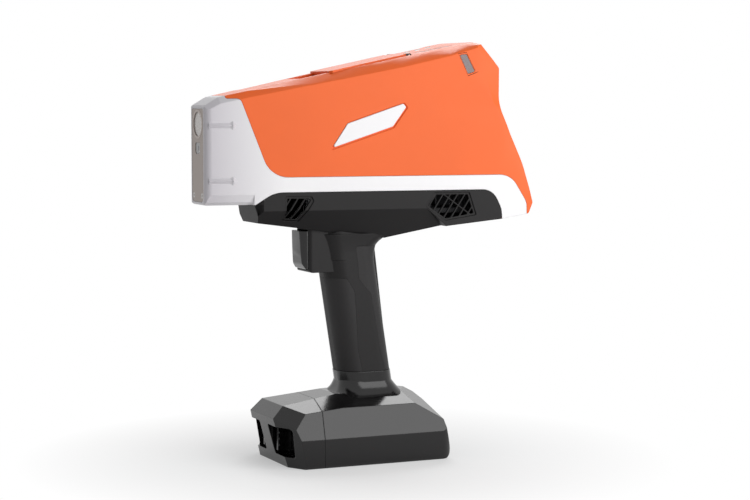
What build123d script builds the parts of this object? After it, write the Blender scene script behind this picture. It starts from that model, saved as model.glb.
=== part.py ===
"""Handheld XRF analyzer. Millimetres, +Z up, nose towards -X, origin at the centre of the foot."""
from build123d import *
import math
import os

os.makedirs("parts", exist_ok=True)

# ---- driving dimensions ------------------------------------------------------
NOSE_X = -109.3          # front rim of the nose
NOSE_HALF = 16.6         # half width at the nose
NOSE_R = 5.0             # radius of the nose's upright corners
FLARE = 0.1060           # half width gained per millimetre towards the rear
WALL = 2.5               # moulded wall of the head
TOP_A = (-99.0, 252.2)   # front end of the sloping top
TOP_B = (85.5, 290.7)    # rear end of the sloping top
CROWN_HALF = 21.8        # half width of the flat strip along the top
CROWN = [(-90, 0.9, -0.6), (8, 0, 4.0), (30, 0, 4.9), (65, 0, 4.6), (88, 0, 2.8), (128, 0, 0.8)]   # x, lift, drop
SEAM = 0.15              # gap along the seams between the covers
PROFILE = [(NOSE_X, 179.3, 2), (NOSE_X, 246.2, 3), (*TOP_A, 9), (*TOP_B, 3), (100.9, 272.3, 3),
           (101.2, 245.5, 30), (118.3, 204.8, 40), (125.3, 178.0, 3), (122.2, 170.3, 2),
           (102.9, 166.9), (61.7, 162.6), (22, 154.2), (-16, 159.0), (-71.5, 166.6), (-74.5, 179.3)]
ORANGE = [(-96, 300), (-94.5, 251.3, 0.8), (-85.2, 251.3, 4), (-64.4, 198, 18), (108.7, 198, 15),
          (120.7, 178.5, 10), (121.5, 150), (150, 150), (150, 300)]
BLACK = [(-78, 100), (-78, 179.3), (-75.2, 179.3, 2), (-62, 187.6, 22), (95.2, 187.6, 12),
         (101.8, 174, 15), (103.4, 150), (103.4, 100)]
REAR = [(91.0, 274.0), (109.5, 212.0), (117.5, 176.0)]   # display plane, then key plane
OPEN_HALF = 34.3         # half width of the rear opening
FRONT_VENT = [(-55.4, 168.4), (-43.2, 167.3), (-34.2, 181.4), (-35.8, 184.6), (-54.2, 184.9)]
REAR_VENT = [(52.1, 186.0), (78.0, 185.9), (83.3, 169.9), (60.4, 166.3), (45.4, 176.4)]
BADGE = [(-21.3, 217.7), (21.7, 232.0), (31.3, 245.3), (29.3, 247.6), (-10.4, 234.1)]
SIDE_LIGHT = [(70.3, 281.3), (75.5, 281.9), (81.8, 269.8), (76.6, 268.0)]

LEAN = 0.155             # grip lean, x per millimetre of drop
GRIP_X = 0.2             # middle of the grip at the height of the trigger
GRIP_DEPTH = 38.4
GRIP_WIDTH = 32.0
GRIP_WALL = 3.8
PAD = 1.6                # rubber thickness
GRIP_END = 61.0          # top of the neck collar
FRONT_PAD = [(-40, 61.5), (5.2, 61.5, 1), (1.9, 76.5), (0.4, 104.6), (-0.6, 117, 3), (-6.0, 126.5, 3),
             (-40, 128)]
REAR_PAD = [(60, 61.5), (23.3, 61.5, 1), (18.7, 79.2), (14.1, 104, 3), (12.0, 115.0, 2),
            (2.6, 126.1, 2), (1.9, 136, 2), (0.2, 149, 2), (60, 149)]

TRIGGER_HALF = 10.0      # half width of the trigger
TRIGGER_GAP = 0.3        # clearance around it
GUARD_X = -33.0          # front of the trigger housing
BAY = [(-38.9, 2.6), (38.9, 2.6), (38.9, 20.5), (34.6, 31.0), (-34.6, 31.0), (-38.9, 20.5)]
BAY_END = 53.0
CASE = [(-38.4, 3.0), (38.4, 3.0), (38.4, 20.4), (34.2, 30.6), (-34.2, 30.6), (-38.4, 20.4)]
CELL_R, CELL_LEN, CELL_PITCH = 10.5, 70.0, 21.6

WINDOW_Z, WINDOW_R = 234.0, 8.3
WHEEL_Y, WHEEL_Z = 3.2, WINDOW_Z + 4.0    # filter wheel axle
CAMERA_Z = WINDOW_Z - 16.2
HINGE_X, HINGE_Z = 41.0, -0.2     # port door axis, in the frame of the sloping top
KEYS = {"key_select": (0, 0, 8.4, 8.4, 4.1), "key_up": (0, 9.6, 9.4, 5.6, 1.6),
        "key_down": (0, -9.6, 9.4, 5.6, 1.6), "key_left": (-11.2, 0, 6.4, 8.4, 1.6),
        "key_right": (11.2, 0, 6.4, 8.4, 1.6), "key_home": (-24, 5, 8.6, 6.4, 2),
        "key_back": (-24, -7, 8.6, 6.4, 2), "key_power": (24, -1, 9, 9, 4.4)}


# ---- drawing helpers ---------------------------------------------------------
def outline(points):
    """Closed face; a third number on a corner is its radius."""
    face = make_face(Polyline(*[(p[0], p[1]) for p in points], close=True))
    for p in points:
        if len(p) > 2 and p[2] > 0:
            corner = face.vertices().sort_by_distance((p[0], p[1], 0))[0]
            face = fillet(corner, p[2])
    return face


def as_face(shape):
    return outline(shape) if isinstance(shape, list) else shape


def slab_xz(shape, y0, y1):
    return extrude(Plane(origin=(0, y1, 0), x_dir=(1, 0, 0), z_dir=(0, -1, 0)) * as_face(shape), y1 - y0)


def slab_xy(shape, z0, z1):
    return extrude(Plane(origin=(0, 0, z0)) * as_face(shape), z1 - z0)


def slab_yz(shape, x0, x1):
    return extrude(Plane(origin=(x0, 0, 0), x_dir=(0, 1, 0), z_dir=(1, 0, 0)) * as_face(shape), x1 - x0)


def box(x0, x1, y0, y1, z0, z1):
    return Pos((x0 + x1) / 2, (y0 + y1) / 2, (z0 + z1) / 2) * Box(x1 - x0, y1 - y0, z1 - z0)


def rod(start, end, radius):
    a, b = Vector(*start), Vector(*end)
    ends = (Align.CENTER, Align.CENTER, Align.MIN)
    return Plane(origin=a, z_dir=(b - a).normalized()) * Cylinder(radius, (b - a).length, align=ends)


def card(width, height, radius, z0, z1, x=0.0, y=0.0):
    """Rounded plate in a local frame."""
    return Pos(x, y, z0) * extrude(RectangleRounded(width, height, radius), z1 - z0)


def frustum(sections):
    """Solid strung through matching triangular sections."""
    def flat(points):
        return Face(Wire.make_polygon([Vector(*p) for p in points], close=True))
    faces = [flat(sections[0]), flat(sections[-1])]
    for a, b in zip(sections, sections[1:]):
        for i in range(3):
            j = (i + 1) % 3
            faces += [flat([a[i], a[j], b[j]]), flat([a[i], b[j], b[i]])]
    return Part() + Solid(Shell(faces))


def off_cut(a, b, inset, reach=9.0, far=16.0):
    """Triangle outside the line a-b (outside is on its left), the line moved in by inset."""
    du, dv = b[0] - a[0], b[1] - a[1]
    n = math.hypot(du, dv)
    du, dv = du / n, dv / n
    nu, nv = -dv, du
    a = (a[0] - inset * nu - reach * du, a[1] - inset * nv - reach * dv)
    b = (b[0] - inset * nu + reach * du, b[1] - inset * nv + reach * dv)
    c = ((a[0] + b[0]) / 2 + far * nu, (a[1] + b[1]) / 2 + far * nv)
    return [a, b, c]


def both_sides(shape):
    return Part() + shape + mirror(shape, Plane.XZ)


# ---- frames on the sloping faces --------------------------------------------
def half_width(x):
    return NOSE_HALF + FLARE * (x - NOSE_X)


SLOPE = (TOP_B[1] - TOP_A[1]) / (TOP_B[0] - TOP_A[0])
TOP_Z0 = TOP_A[1] - SLOPE * TOP_A[0]
TOP = Plane(origin=(0, 0, TOP_Z0), x_dir=(1, 0, SLOPE), z_dir=(-SLOPE, 0, 1))


def rear_plane(a, b):
    """Plane on a rear facet: x to the right of a viewer behind it, y up, z out."""
    dx, dz = b[0] - a[0], b[1] - a[1]
    n = math.hypot(dx, dz)
    return Plane(origin=((a[0] + b[0]) / 2, 0, (a[1] + b[1]) / 2), x_dir=(0, 1, 0),
                 z_dir=(-dz / n, 0, dx / n))


SCREEN = rear_plane(REAR[0], REAR[1])
PADS = rear_plane(REAR[1], REAR[2])


def side_layer(points, depth0, depth1, side):
    """Piece of the layer between two depths under the flat side wall; side is -1 or +1."""
    k = math.sqrt(1 + FLARE * FLARE)
    plan = [(x, half_width(x) - d * k) for x, d in ((-140, depth0), (140, depth0), (140, depth1), (-140, depth1))]
    layer = slab_xz(points, 0, 70) & slab_xy(plan, 150, 300)
    return layer if side > 0 else mirror(layer, Plane.XZ)


# ---- head and belly form -----------------------------------------------------
def top_z(x):
    """Height of the middle of the top."""
    return TOP_Z0 + SLOPE * x if x >= TOP_A[0] else TOP_A[1] + 0.5 * (x - TOP_A[0])


def edge_drop(x):
    """How far the edge of the top lies below its middle strip."""
    for (x0, _, d0), (x1, _, d1) in zip(CROWN, CROWN[1:]):
        if x0 <= x <= x1:
            return max(0.0, d0 + (d1 - d0) * (x - x0) / (x1 - x0))
    return 0.0


def top_crown(inset):
    rows = []
    for x, lift, drop in CROWN:
        z, w = top_z(x), half_width(x)
        line = off_cut((min(CROWN_HALF, w - 4), z + lift), (w, z - drop), inset, 9, 18)
        rows.append([(x, u, v) for u, v in line])
    return frustum(rows)


def top_chamfers(inset):
    rows = []
    legs = ((-114, 4.4), (-99, 4.4), (-77, 4.3), (8, 2.0), (30, 1.4), (65, 1.0), (88, 0.8), (128, 0.8))
    for x, leg in legs:
        z, w = top_z(x) - edge_drop(x), half_width(x)
        rows.append([(x, u, v) for u, v in off_cut((w - leg, z), (w, z - leg), inset)])
    return frustum(rows)


def nose_roundings(inset):
    """Two facets that round the lower edge of the nose side."""
    facets = Part()
    for upper, lower in (((0, 186.4), (-2, 181.3)), ((-2, 181.3), (-6.4, 179.3))):
        rows = []
        for x in (-114, -76):
            w = half_width(x)
            line = off_cut((w + upper[0], upper[1]), (w + lower[0], lower[1]), inset)
            rows.append([(x, u, v) for u, v in line])
        facets += frustum(rows)
    return facets


def belly_corner(inset):
    """Upright facet between the belly's front and its side."""
    return slab_xy(off_cut((-69.5, half_width(-69.5)), (-74.5, 16.4), inset), 150, 179.3 + inset)


def belly_chamfer(inset):
    rows = []
    for x in (-95, 66):
        w = half_width(x)
        rows.append([(x, u, v) for u, v in off_cut((w, 175), (w - 10.8, 160), inset, 12, 24)])
    pod = slab_xz([(45.4 + inset, 176.4), (60.4 + inset, 163), (80, 145), (80, 200), (45.4 + inset, 200)], 0, 80)
    return frustum(rows) - pod


def rear_bevels():
    rows = []
    for z, crease, rear, drop in ((292, 78.6, 84.5, 2.4), (272.3, 90.2, 101, 2.8), (248, 95.4, 101.2, 2.8),
                                  (226, 102.2, 109.6, 2.4), (204.8, 112.5, 118.5, 1.5), (180, 124.2, 125.4, 0.1)):
        a = (crease, half_width(crease))
        b = (rear, half_width(rear) - drop)
        rows.append([(u, v, z) for u, v in off_cut(a, b, 0, 4, 10)])
    return frustum(rows)


def form(inset=0.0, rear=0.0):
    """Outer shape of head and belly, every face moved in by inset and the rear moved out by rear."""
    side = outline(PROFILE)
    if inset:
        moved = [(p[0] + rear, p[1]) if p[0] > 100 and p[1] > 175 else p[:2] for p in PROFILE]
        side = offset(outline(moved), -inset, kind=Kind.INTERSECTION)
    body = slab_xz(side, -60, 60)
    k = inset * math.sqrt(1 + FLARE * FLARE)
    x0, x1, r = NOSE_X + inset, 140, max(NOSE_R - inset, 0)
    plan = [(x0, half_width(x0) - k, r), (x0, k - half_width(x0), r), (x1, k - half_width(x1)), (x1, half_width(x1) - k)]
    body &= slab_xy(plan, 140, 300)
    for cut in (top_crown, top_chamfers, nose_roundings, belly_corner, belly_chamfer):
        body -= both_sides(cut(inset))
    if inset == 0:
        body -= both_sides(rear_bevels())
    return body


def behind_rear(shift=0.0):
    """Everything behind the display and key planes."""
    (ax, az), (bx, bz), (cx, cz) = [(x + shift, z) for x, z in REAR]
    k1, k2 = (bx - ax) / (bz - az), (cx - bx) / (cz - bz)
    return slab_xz([(ax + k1 * (300 - az), 300), (bx, bz), (cx + k2 * (140 - cz), 140), (160, 140), (160, 300)], -70, 70)


def rear_band(d0, d1):
    """Layer under the rear planes between depths d0 and d1."""
    return behind_rear(-d1 * 1.02) - behind_rear(-d0 * 1.02)


OUTER = form(0)
INNER = form(WALL, 9.0)
CAVITY = INNER - behind_rear()
OPENING = slab_xz([(90.0, 270.6), (107.5, 212), (114.4, 178.3), (150, 180.3), (150, 266)], -OPEN_HALF, OPEN_HALF)
SHELL = OUTER - CAVITY - OPENING
IN_ORANGE = slab_xz(ORANGE, -70, 70)
IN_BLACK = slab_xz(BLACK, -70, 70)
WIDE_ORANGE = slab_xz(offset(outline(ORANGE), SEAM), -70, 70)
WIDE_BLACK = slab_xz(offset(outline(BLACK), SEAM), -70, 70)


# ---- covers -------------------------------------------------------------------
def door_plate(gap=0.0):
    """Port door outline on the sloping top, notched beside the hinge."""
    g = gap
    return [(-20.4 - g, -17 - g), (-18.4, -19 - g), (HINGE_X - 3.2 + g, -19 - g), (HINGE_X - 3.2 + g, -14.2 - g),
            (HINGE_X, -14.2 - g), (HINGE_X, 14.2 + g), (HINGE_X - 3.2 + g, 14.2 + g), (HINGE_X - 3.2 + g, 19 + g),
            (-18.4, 19 + g), (-20.4 - g, 17 + g)]


def light_bars(gap=0.0):
    """Outlines of the slanted bars, three to each side."""
    for i in range(3):
        x = 48.6 + 8.2 * i
        for side in (-1, 1):
            yield [(x - gap, side * (7 - gap)), (x + 4.4 + gap, side * (7 - gap)),
                   (x + 10.2 + gap, side * (18.4 + gap)), (x + 5.8 - gap, side * (18.4 + gap))]


def top_solid(points, z0, z1):
    return TOP * (Pos(0, 0, z0) * extrude(outline(points), z1 - z0))


def upper_cover():
    cover = SHELL & IN_ORANGE
    pad = TOP * Pos(-32.6, 0, -4.6) * Box(24.8, 32, 5.4)
    cover += pad & INNER
    scoop = [(-41, 0.2), (-21.2, -5.4), (-19.4, -5.4), (-19.4, 3), (-41, 3)]
    cover -= TOP * (Plane(origin=(0, 12.5, 0), x_dir=(1, 0, 0), z_dir=(0, -1, 0)) * extrude(outline(scoop), 25))
    cover -= TOP * Pos(11.2, 0, 0) * Box(63.6, 38.8, 9)
    for bar in light_bars():
        cover -= top_solid(bar, -5, 3)
    for side in (-1, 1):
        cover -= side_layer(grow([(x + 0.4, z - 0.4) for x, z in BADGE], 0.9), -2, 1.0, side)
        cover -= side_layer(grow(SIDE_LIGHT, 0.0), -2, 4, side)
    return cover


def grow(points, amount):
    """Outline moved out by amount, with a small corner radius."""
    face = outline([p[:2] for p in points])
    if amount:
        face = offset(face, amount, kind=Kind.INTERSECTION)
    return fillet(face.vertices(), 0.8)


def side_rows(z, stations):
    """Ridge on the nose side: x, half height and rise at each station."""
    rows = []
    for x, high, rise in stations:
        w = half_width(x)
        rows.append([(x, w - 1.2, z - high), (x, w - 1.2, z + high), (x, w + rise, z)])
    return frustum(rows)


def nose_rib(z):
    """Raised rib on the nose side, with a diamond at its rear end."""
    x = NOSE_X + 2
    rib = side_rows(z, ((x, 2.2, 0.9), (x + 15.6, 2.9, 1.3)))
    return rib + side_rows(z, ((x + 14.4, 0.5, -0.6), (x + 16.4, 4.4, 2.0), (x + 20.6, 0.3, -0.6)))


PLATE = [(-11.5, 181.5, 4), (11.5, 181.5, 4), (11.5, 244.3, 1.5), (-11.5, 244.3, 1.5)]
PLATE_SCREWS = [(-8.3, 185.8), (8.3, 185.8)]


def nose_body():
    body = SHELL - WIDE_ORANGE - WIDE_BLACK
    for z in (WINDOW_Z - 0.9, WINDOW_Z - 38.1):
        body += both_sides(nose_rib(z))
    body += box(NOSE_X + 1, NOSE_X + 6.5, -12.2, 12.2, 183.5, 246) & OUTER
    body -= slab_yz(offset(outline(PLATE), 0.1), NOSE_X - 4, NOSE_X + 1.1)
    body -= rod((NOSE_X - 4, 0, WINDOW_Z), (NOSE_X + 11, 0, WINDOW_Z), WINDOW_R + 1.6)
    body -= box(NOSE_X - 4, NOSE_X + 11, -5.1, 5.1, CAMERA_Z - 4.9, CAMERA_Z + 5.3)
    for y, z in PLATE_SCREWS:
        body -= rod((NOSE_X - 4, y, z), (NOSE_X + 8, y, z), 1.0)
    return body


def camera_pane(gap, x0, x1):
    pane = RectangleRounded(9.4 - 2 * gap, 7.6 - 2 * gap, 2)
    return Plane(origin=(x0, 0, CAMERA_Z), x_dir=(0, 1, 0), z_dir=(1, 0, 0)) * extrude(pane, x1 - x0)


def face_plate():
    plate = slab_yz(PLATE, NOSE_X + 0.1, NOSE_X + 1.1)
    plate -= rod((NOSE_X - 4, 0, WINDOW_Z), (NOSE_X + 11, 0, WINDOW_Z), WINDOW_R + 1.6)
    plate -= camera_pane(0, NOSE_X - 4, NOSE_X + 5)
    for y, z in PLATE_SCREWS:
        plate -= rod((NOSE_X - 4, y, z), (NOSE_X + 8, y, z), 1.0) + rod((NOSE_X - 4, y, z), (NOSE_X + 0.65, y, z), 1.95)
    return plate


def face_plate_screws():
    screws = Part()
    x = NOSE_X + 0.65
    for y, z in PLATE_SCREWS:
        head = rod((x - 0.5, y, z), (x, y, z), 1.9) - rod((x - 2, y, z), (x - 0.2, y, z), 0.8)
        screws += head + rod((x, y, z), (x + 5.1, y, z), 1.0)
    return screws


def window_ring():
    ring = rod((NOSE_X, 0, WINDOW_Z), (NOSE_X + 5.5, 0, WINDOW_Z), WINDOW_R + 1.6)
    ring -= rod((NOSE_X - 1, 0, WINDOW_Z), (NOSE_X + 1.1, 0, WINDOW_Z), WINDOW_R)
    return ring - rod((NOSE_X - 1, 0, WINDOW_Z), (NOSE_X + 11, 0, WINDOW_Z), WINDOW_R - 1.5)


def window_film():
    return rod((NOSE_X + 0.7, 0, WINDOW_Z), (NOSE_X + 1.1, 0, WINDOW_Z), WINDOW_R - 0.05)


def blank_plates():
    return both_sides(side_layer(grow(BADGE, 0.0), -0.35, 1.0, 1))


def side_lights():
    return both_sides(side_layer(grow(SIDE_LIGHT, -0.15), 0.15, 3.2, 1))


def top_light_bars():
    bars = Part()
    for bar in light_bars(-0.1):
        bars += top_solid(bar, -4.4, -0.1)
    return bars


# ---- belly, grip and trigger -----------------------------------------------
def grip_x(x, z):
    return x + LEAN * (130 - z)


def grip_form(inset, z0, z1):
    """Leaning rounded prism of the grip between two heights."""
    a, b = GRIP_DEPTH / 2 - inset, GRIP_WIDTH / 2 - inset
    x = grip_x(GRIP_X, z0)
    face = outline([(x - a, -b, 14 - inset), (x + a, -b, 12 - inset), (x + a, b, 12 - inset), (x - a, b, 14 - inset)])
    return Part() + Solid.extrude((Plane(origin=(0, 0, z0)) * face).face(), Vector(-LEAN, 0, 1) * (z1 - z0))


def flare(sections):
    """Smooth blend through grip-shaped sections: height, growth along x and y, and shift of the middle."""
    rings = []
    for z, along, across, shift in sections:
        a, b, x = GRIP_DEPTH / 2 + along, GRIP_WIDTH / 2 + across, grip_x(GRIP_X, z) + shift
        ring = outline([(x - a, -b, 13), (x + a, -b, 12), (x + a, b, 12), (x - a, b, 13)])
        rings.append((Plane(origin=(0, 0, z)) * ring).face())
    return loft(rings)


def vent_hole(points, side):
    y0, y1 = (0, 70) if side > 0 else (-70, 0)
    return slab_xz(grow(points, 0.0), y0, y1)


SCREWS = [(2.4, 120.0), (9.4, 75.0), (-66.5, 176.5), (92.0, 177.5)]
WEB = [(139.5, 0.0, 0.0, 0.0), (147.5, 0.9, 0.15, 0.8), (152.5, 3.6, 0.6, 3.2), (157.5, 11.0, 1.2, 9.5)]


def handle():
    """Both halves of belly and grip in one, still joined."""
    belly = (OUTER - OPENING) & IN_BLACK
    body = belly + grip_form(0, GRIP_END, 168) + flare(WEB)
    half = TRIGGER_HALF + 2.3
    block = box(GUARD_X, -5, -half, half, 131.2, 166)
    block = fillet(block.edges().filter_by(Axis.Z).sort_by(Axis.X)[:2] + block.edges().filter_by(Axis.Y).sort_by(Axis.Z)[:1], 2.6)
    body += block - (INNER & IN_BLACK)
    body += grip_form(2.3, 50, GRIP_END + 1)
    body -= (grip_form(-12, 61.5, 150) - grip_form(PAD, 61.4, 150.1)) & (slab_xz(FRONT_PAD, -40, 40) + slab_xz(REAR_PAD, -40, 40))
    body -= CAVITY & slab_xz([p[:2] for p in BLACK], -70, 70)
    body -= grip_form(GRIP_WALL + 0.4, 49, 175)
    slot = TRIGGER_HALF + TRIGGER_GAP
    body -= box(GUARD_X - 3, -11, -slot, slot, 133.0, 160.6)
    for side in (-1, 1):
        body -= vent_hole(FRONT_VENT, side) - grip_form(3, 100, 190)
        body -= vent_hole(REAR_VENT, side)
    bosses = Part()
    for x, z in SCREWS:
        bosses += rod((x, -40, z), (x, 40, z), 3.6) & (OUTER if z > 165 else grip_form(0.5, 61, 150))
    body += bosses
    for x, y in ((-60, 12), (93, 22)):
        body += both_sides(rod((x, y, 160), (x, y, 191.4), 3)) & (OUTER + box(80, 110, -40, 40, 180, 192))
    for x, z in SCREWS:
        body -= rod((x, -9, z), (x, 60, z), 1.5)
        body -= rod((x, wall_y(x, z) - 3.4, z), (x, 60, z), 3.0)
    return body


def wall_y(x, z):
    return half_width(x) if z > 165 else GRIP_WIDTH / 2


def half(body, side):
    y0, y1 = (0, 80) if side > 0 else (-80, 0)
    return body & box(-150, 150, y0, y1, 0, 300)


def housing_screws():
    screws = Part()
    for x, z in SCREWS:
        y = wall_y(x, z) - 3.4
        head = rod((x, y, z), (x, y + 2.0, z), 2.8)
        head -= rod((x, y + 1.0, z), (x, y + 3, z), 1.2)
        screws += head + rod((x, -8.5, z), (x, y, z), 1.5)
    return screws


def vent(points, side, count, pitch, x0, tie=None):
    """Grille plate following the wall, with slanted bars and, where asked, a row of cross ties."""
    layer = (form(0.7) - form(2.4)) & vent_hole(points, side)
    frame = grow(points, -1.5)
    slots = Part()
    for i in range(count):
        x = x0 + pitch * i
        slots += slab_xz([(x, 160), (x + pitch - 1.1, 160), (x + pitch - 1.1 + 19, 190), (x + 19, 190)], -70, 70)
    if tie:
        slots -= slab_xz(tie, -70, 70)
    return layer - (slots & slab_xz(frame, -70, 70))


TIE = [(55, 188.3), (55, 187.3), (86, 164.6), (86, 165.6)]


def pad(points):
    return (grip_form(0, 61.5, 150) - grip_form(PAD, 61.4, 150.1)) & slab_xz(points, -40, 40)


def trigger():
    w = TRIGGER_HALF
    front = slab_xz([(-38.4, 160.0), (-37.8, 148), (-37.0, 137.4, 4), (-34.4, 133.4, 2), (-30, 133.4),
                     (-16.5, 136.2), (-16.5, 157), (-30, 160.0)], -w, w)
    plan = [(-39.4, -w, 7), (-10, -w), (-10, w), (-39.4, w, 7)]
    body = front & slab_xy(plan, 130, 165)
    body -= box(-27, -10, -w + 2, w - 2, 130, 165)
    return body + box(-29, -20.5, -3, 3, 143, 151)


def trigger_switch():
    return box(-9.5, 1.5, -6, 6, 141.5, 152.5) + rod((-11.4, 0, 147), (-9.5, 0, 147), 1.8)


def trigger_spring():
    turns, r = 5, 2.6
    path = Helix(pitch=1.5, height=1.5 * turns, radius=r, center=(-19.9, 0, 147), direction=(1, 0, 0))
    wire = sweep(Plane(origin=path @ 0, z_dir=path % 0) * Circle(0.35), path=path)
    return wire


# ---- base and battery -------------------------------------------------------
def beyond(point, normal):
    """Everything on the outer side of a plane."""
    return Plane(origin=point, z_dir=normal) * Box(300, 300, 100, align=(Align.CENTER, Align.CENTER, Align.MIN))


def base_form():
    """Faceted foot: crossed prisms, then one plane for each slanted facet."""
    side = [(-55, 0), (-64, 33.3), (-56, 41.4), (-14.5, 46.5), (48, 46.5), (54.8, 38), (64.4, 0, 6.5)]
    front = [(-40.5, 0), (40.5, 0), (41.5, 1.5), (41.5, 20), (34, 39.6), (16, 46.6),
             (-16, 46.6), (-34, 39.6), (-41.5, 20), (-41.5, 1.5)]
    plan = [(-70, -41.5), (64.4, -41.5, 9), (64.4, 41.5, 9), (-70, 41.5)]
    body = slab_xz(side, -60, 60) & slab_yz(front, -80, 80) & slab_xy(plan, -5, 65)
    for turn in (-1, 1):
        body -= beyond((-64, turn * 22, 33.3), (-0.866, turn * 0.474, -0.165))     # finger opening facet
        body -= beyond((-64, turn * 22, 33.3), (-0.519, turn * 0.557, 0.650))      # facet above it
        body -= beyond((-56, turn * 20, 41.4), (-0.072, turn * 0.321, 0.945))      # front of the top
        body -= beyond((40.1, turn * 8, 46.0), (0.450, turn * 0.2565, 0.855))      # rear of the top
    return body


def front_region(gap=0.0):
    """Part of the foot that belongs to the battery cap."""
    face = make_face([Line((-90, -60), (-36 - gap, -60)), ThreePointArc((-36 - gap, -60), (-31 - gap, 0), (-36 - gap, 60)),
                      Line((-36 - gap, 60), (-90, 60)), Line((-90, 60), (-90, -60))])
    return extrude(Plane(origin=(0, 0, -5)) * face, 70)


def bay(x0, x1):
    return slab_yz(BAY, x0, x1)


BASE = base_form()
NECK = [(40.0, 10.5, 10.5, -2.0), (44.5, 7.0, 6.4, -1.0), (48.5, 3.2, 2.8, 0), (52.0, 1.1, 1.0, 0), (56.5, -0.8, -0.8, 0)]


def base_housing():
    body = BASE - front_region(0)
    body += grip_form(-0.4, 40, GRIP_END) + flare(NECK)
    body -= grip_form(2.15, 45, 70)
    body -= bay(-60, BAY_END)
    body -= grip_form(6.5, 25, 60)
    return body


def battery_cap():
    body = BASE & front_region(0.25)
    body -= slab_yz(offset(outline(CASE), 0.05, kind=Kind.INTERSECTION), -43.15, -10)
    for side in (-1, 1):
        pocket = slab_yz([(8, 7, 2), (34, 7, 2), (36.2, 27.5, 3), (7.4, 28, 2)], -80, -47)
        slot = box(-48, -43.0, 8.9, 14.2, 14.8, 20.2)
        cut = pocket + slot
        body -= cut if side > 0 else mirror(cut, Plane.XZ)
    return body


def latch(side):
    """Squeeze tab in a finger pocket, with its tongue through the pocket wall."""
    tab = box(-57.2, -47.4, 11.2, 13.8, 9.9, 25.8)
    for z in (13.5, 17.85, 22.2):
        tab += box(-56.5, -49.5, 13.6, 14.4, z - 0.6, z + 0.6)
    body = tab + box(-47.6, -43.9, 11.2, 13.8, 15.2, 19.8)
    return body if side > 0 else mirror(body, Plane.XZ)


def battery_case():
    body = slab_yz(CASE, -43.1, 46.4)
    body -= slab_yz([(-37.2, 4.2), (37.2, 4.2), (37.2, 20.0), (33.4, 29.4), (-33.4, 29.4), (-37.2, 20.0)], -41.7, 45.2)
    for y in (-10, -5, 0, 5, 10):
        body -= box(44, 47, y - 1.0, y + 1.0, 9, 19)
    return body


def battery_cells():
    cells = Part()
    for i in range(4):
        x = -30.4 + CELL_PITCH * i
        cells += rod((x, -CELL_LEN / 2, 15), (x, CELL_LEN / 2, 15), CELL_R)
    return cells


def battery_board():
    return box(-36, 40, -20, 20, 26.4, 27.6) + box(-20, 2, -8, 8, 27.6, 28.8)


def dock_contacts():
    body = box(49.3, BAY_END, -14, 14, 7.5, 20.5)
    for y in (-10, -5, 0, 5, 10):
        body += box(47.0, 49.3, y - 0.5, y + 0.5, 10.5, 17.5)
    return body


# ---- port door, tray and connectors ----------------------------------------
def io_door():
    plate = top_solid(door_plate(), -1.3, 1.2) - TOP * Pos(HINGE_X, 0, 0) * Box(3.2, 60, 9)
    arm = TOP * (Plane(origin=(0, 14.0, 0), x_dir=(1, 0, 0), z_dir=(0, -1, 0)) * extrude(
        make_face([Line((HINGE_X - 2.6, HINGE_Z - 1.1), (HINGE_X - 2.6, HINGE_Z + 1.4)),
                   Line((HINGE_X - 2.6, HINGE_Z + 1.4), (HINGE_X, HINGE_Z + 1.4)),
                   ThreePointArc((HINGE_X, HINGE_Z + 1.4), (HINGE_X + 1.4, HINGE_Z), (HINGE_X, HINGE_Z - 1.4)),
                   Line((HINGE_X, HINGE_Z - 1.4), (HINGE_X - 2.6, HINGE_Z - 1.1))]), 28))
    door = plate + arm
    return door - TOP * Pos(HINGE_X, 0, HINGE_Z) * Rot(90, 0, 0) * Cylinder(0.8, 60)


def io_door_pin():
    return TOP * Pos(HINGE_X, 0, HINGE_Z) * Rot(90, 0, 0) * Cylinder(0.74, 36)


def io_tray():
    body = TOP * Pos(12, 0, -9.65) * Box(64, 40, 13.8)
    body -= TOP * Pos(11.2, 0, -7.5) * Box(60.4, 37.4, 13)
    body -= TOP * Pos(-20, 0, -3.5) * Box(4, 25, 4)
    for y in (-16.6, 16.6):
        lug = TOP * Pos(HINGE_X, y, -3.5) * Box(2.8, 3.4, 6.6)
        body += lug + TOP * Pos(HINGE_X, y, HINGE_Z) * Rot(90, 0, 0) * Cylinder(1.4, 3.4)
    body += TOP * Pos(HINGE_X - 0.2, 0, -7.4) * Box(3.2, 36.6, 6)
    return body - TOP * Pos(HINGE_X, 0, HINGE_Z) * Rot(90, 0, 0) * Cylinder(0.74, 60)


def io_ports():
    body = TOP * Pos(8, 0, -13.2) * Box(46, 32, 1.4)
    for x, y, lx, ly, lz in ((-4, -8, 13.5, 13, 6.2), (-4, 8, 13.5, 13, 6.2), (14, -8, 8, 9, 3.4), (16, 8, 15, 13, 2.4)):
        port = TOP * Pos(x, y, -12.5 + lz / 2) * Box(lx, ly, lz)
        port -= TOP * Pos(x - lx / 2, y, -12.5 + lz / 2) * Box(lx * 1.2, ly - 1.4, lz - 1.4)
        body += port
    return body


# ---- rear panel, display and keys ------------------------------------------
def rear_panel():
    body = form(WALL + 0.1, 9.0) & rear_band(0.1, 2.6) & box(80, 130, -60, 60, 172, 272.5)
    body -= SCREEN * Pos(0, 1.0, 0) * Box(66.4, 52.4, 12)
    for x, y, w, h, r in KEYS.values():
        body -= PADS * card(w + 0.7, h + 0.7, r + 0.3, -6, 3, x, y)
    for x in (-27.5, 27.5):
        for y in (-13.6, 13.0):
            body += PADS * Pos(x, y, -3.6) * Cylinder(1.6, 2.4)
    return body


def display_glass():
    return SCREEN * card(66.0, 52.0, 1.5, -2.6, -0.6, 0, 1.0)


def display_module():
    return SCREEN * Pos(0, 1.0, -5.4) * Box(62, 48, 5.2)


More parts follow.
